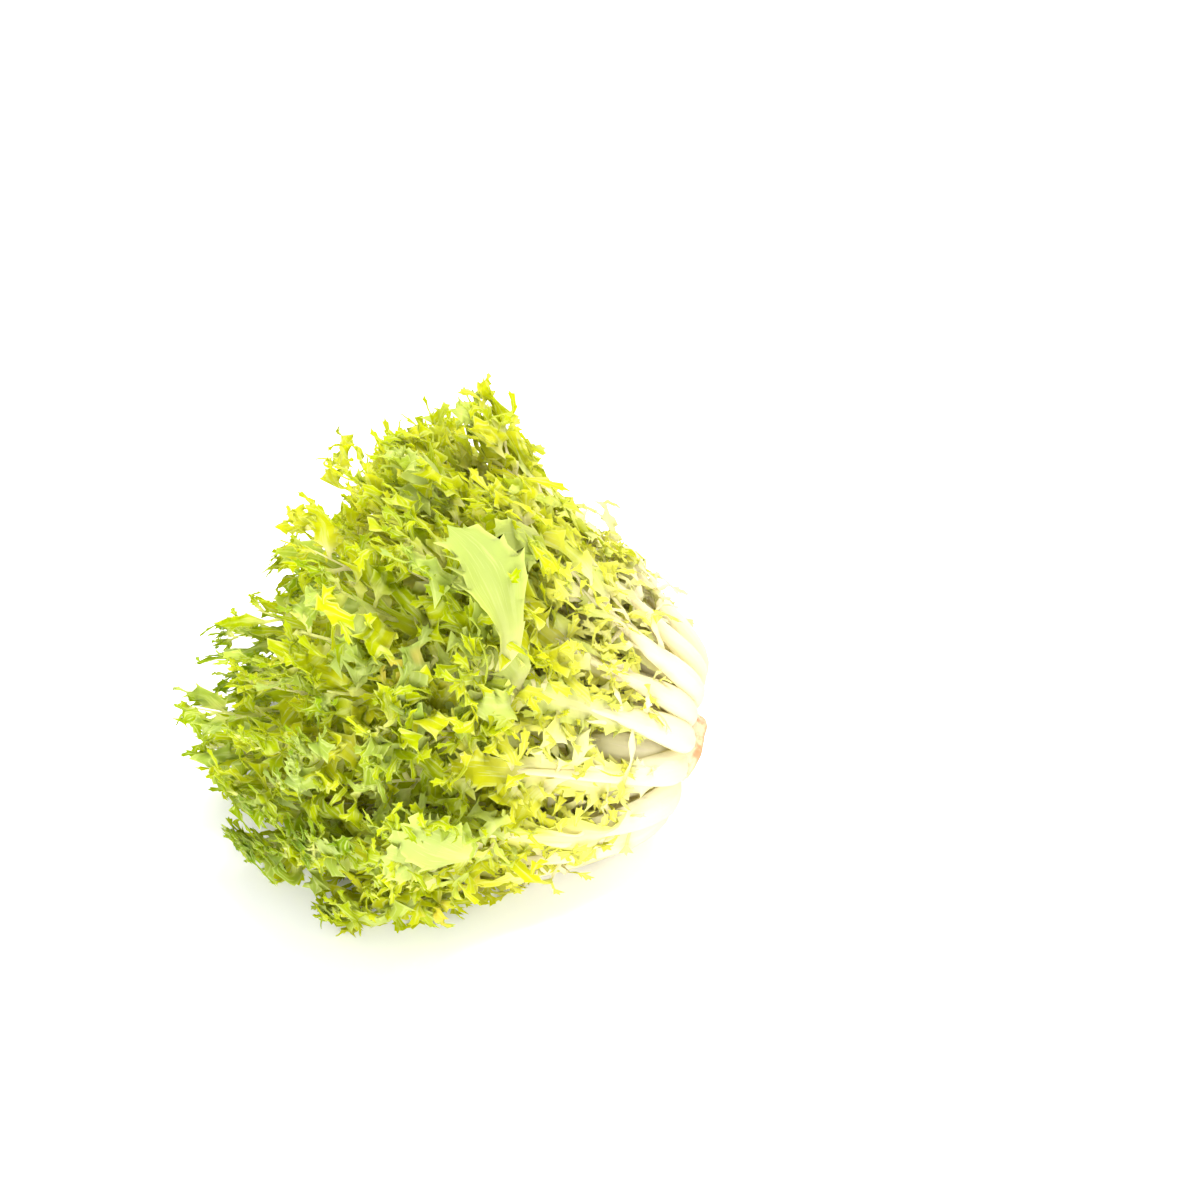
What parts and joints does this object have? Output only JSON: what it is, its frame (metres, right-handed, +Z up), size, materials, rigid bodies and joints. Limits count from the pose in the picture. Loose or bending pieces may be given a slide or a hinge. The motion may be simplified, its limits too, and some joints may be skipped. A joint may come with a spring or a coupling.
{
  "type": "curly endive head",
  "caption": "Head of curly endive lying on its side: a short cut stem, broad white stalks and a dense mop of frilled, toothed leaves, green outside and yellow at the heart",
  "frame": {"origin": "on the surface it lies on, under the middle of its bounding box", "axes": "+Z up from the surface; +X the way the cut stem points; the leaves spread towards -X and to both sides along Y"},
  "size_m": [0.2432, 0.2728, 0.1948],
  "materials": {
    "cut_stem": "satin",
    "outer_leaf": "satin",
    "second_leaf": "satin",
    "third_leaf": "satin",
    "fourth_leaf": "satin",
    "inner_leaf": "satin",
    "heart_leaf": "satin"
  },
  "bodies": {
    "root": {"crown": "cut_stem", "leaf_outer_01": "outer_leaf", "leaf_outer_02": "outer_leaf", "leaf_outer_03": "outer_leaf", "leaf_outer_04": "outer_leaf", "leaf_outer_05": "outer_leaf", "leaf_outer_06": "outer_leaf", "leaf_outer_07": "outer_leaf", "leaf_outer_08": "outer_leaf", "leaf_outer_09": "outer_leaf", "leaf_outer_10": "outer_leaf", "leaf_second_01": "second_leaf", "leaf_second_02": "second_leaf", "leaf_second_03": "second_leaf", "leaf_second_04": "second_leaf", "leaf_second_05": "second_leaf", "leaf_second_06": "second_leaf", "leaf_second_07": "second_leaf", "leaf_second_08": "second_leaf", "leaf_second_09": "second_leaf", "leaf_second_10": "second_leaf", "leaf_third_01": "third_leaf", "leaf_third_02": "third_leaf", "leaf_third_03": "third_leaf", "leaf_third_04": "third_leaf", "leaf_third_05": "third_leaf", "leaf_third_06": "third_leaf", "leaf_third_07": "third_leaf", "leaf_third_08": "third_leaf", "leaf_third_09": "third_leaf", "leaf_fourth_01": "fourth_leaf", "leaf_fourth_02": "fourth_leaf", "leaf_fourth_03": "fourth_leaf", "leaf_fourth_04": "fourth_leaf", "leaf_fourth_05": "fourth_leaf", "leaf_fourth_06": "fourth_leaf", "leaf_fourth_07": "fourth_leaf", "leaf_inner_01": "inner_leaf", "leaf_inner_02": "inner_leaf", "leaf_inner_03": "inner_leaf", "leaf_inner_04": "inner_leaf", "leaf_inner_05": "inner_leaf", "leaf_heart_01": "heart_leaf", "leaf_heart_02": "heart_leaf", "leaf_heart_03": "heart_leaf"}
  },
  "joints": []
}
